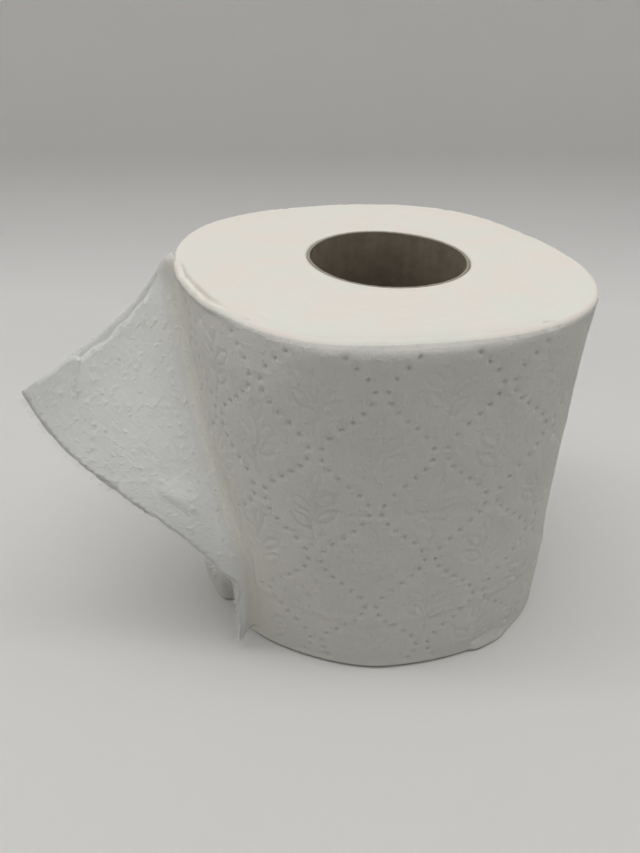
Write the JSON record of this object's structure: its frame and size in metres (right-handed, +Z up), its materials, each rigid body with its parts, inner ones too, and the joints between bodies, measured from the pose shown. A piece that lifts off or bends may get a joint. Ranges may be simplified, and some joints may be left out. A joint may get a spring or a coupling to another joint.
{
  "type": "toilet paper roll",
  "caption": "Upright roll of wound tissue on a cardboard tube, with the free end of the paper folded out from its side.",
  "frame": {"origin": "middle of the part's footprint, on the surface the roll stands on; the roll's own axis is about 17 mm towards +X from it, because the loose end reaches out to -X", "axes": "+Z up along the roll's axis; -X towards the tip of the loose end; -Y towards the side the picture shows"},
  "size_m": [0.1386, 0.1026, 0.097],
  "materials": {
    "tissue": "creped and embossed white tissue, matt",
    "board": "spiral-wound grey-brown board, matt"
  },
  "bodies": {
    "root": {"tissue_paper": "tissue", "cardboard_core": "board"}
  },
  "joints": []
}
